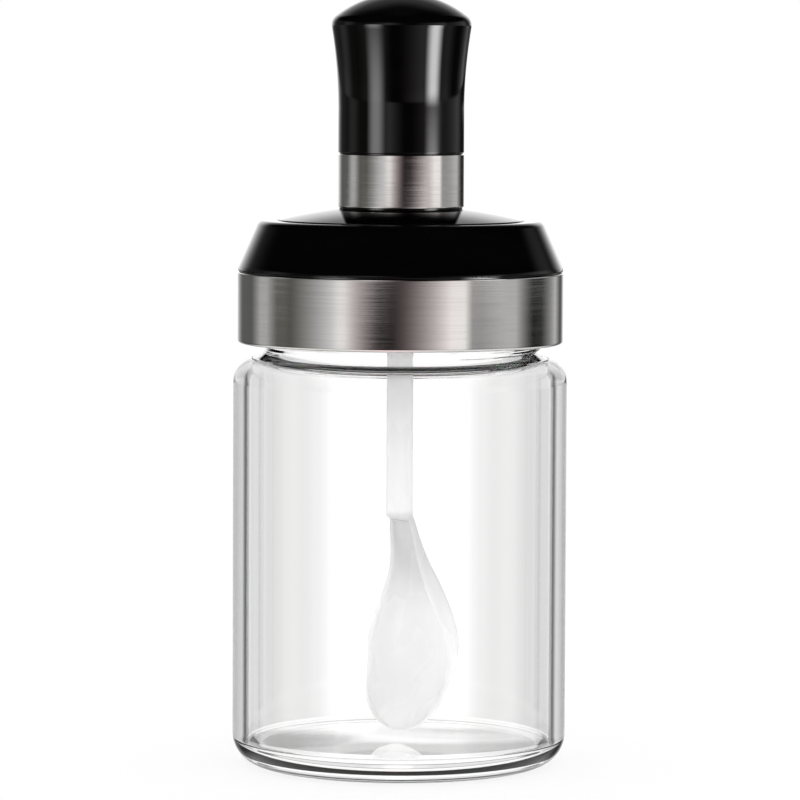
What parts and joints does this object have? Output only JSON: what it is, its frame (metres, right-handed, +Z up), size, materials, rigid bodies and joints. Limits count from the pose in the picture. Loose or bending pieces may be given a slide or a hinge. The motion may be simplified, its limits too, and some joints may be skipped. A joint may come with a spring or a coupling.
{
  "type": "seasoning jar",
  "caption": "Round glass seasoning jar with a screw collar and a domed lid that lifts out by a tall knob, carrying a long-stemmed scoop.",
  "frame": {"origin": "centre of the foot, on the surface that the jar stands on", "axes": "+Z up along the jar's axis; -Y is the front, where the scoop shows its hollow; +X to its right"},
  "size_m": [0.07, 0.07, 0.1618],
  "materials": {
    "clear_glass": "clear polished soda-lime glass",
    "gloss_black": "high-gloss black moulded plastic",
    "moulded_black": "satin black moulded plastic",
    "brushed_steel": "fine-brushed stainless steel sheet",
    "zinc_steel": "zinc-plated steel",
    "silicone": "translucent silicone rubber",
    "milky_plastic": "translucent white moulded polypropylene"
  },
  "bodies": {
    "jar": {"glass_jar": "clear_glass"},
    "gasket": {"neck_gasket": "silicone"},
    "collar": {"collar_thread_insert": "moulded_black", "collar_shell": "gloss_black", "collar_band": "brushed_steel"},
    "lid": {"lid_cap": "gloss_black", "lid_plug": "moulded_black", "lid_seal": "silicone", "knob_core": "gloss_black", "knob_band": "brushed_steel", "knob_grip": "gloss_black", "knob_screw": "zinc_steel", "spoon": "milky_plastic"}
  },
  "joints": [
    {"name": "collar_rise", "type": "slide", "parent": "jar", "child": "gasket", "axis": [0, 0, 1], "range_m": [0, 0.012]},
    {"name": "collar_turn", "type": "hinge", "parent": "gasket", "child": "collar", "pos_m": [0, 0, 0.09], "axis": [0, 0, 1], "range_deg": [0, 1080]},
    {"name": "lid_lift", "type": "slide", "parent": "collar", "child": "lid", "axis": [0, 0, 1], "range_m": [0, 0.112]}
  ],
  "couplings": [
    {"joint": "collar_rise", "follows": "collar_turn", "m_per_rad": 0.0006366}
  ]
}
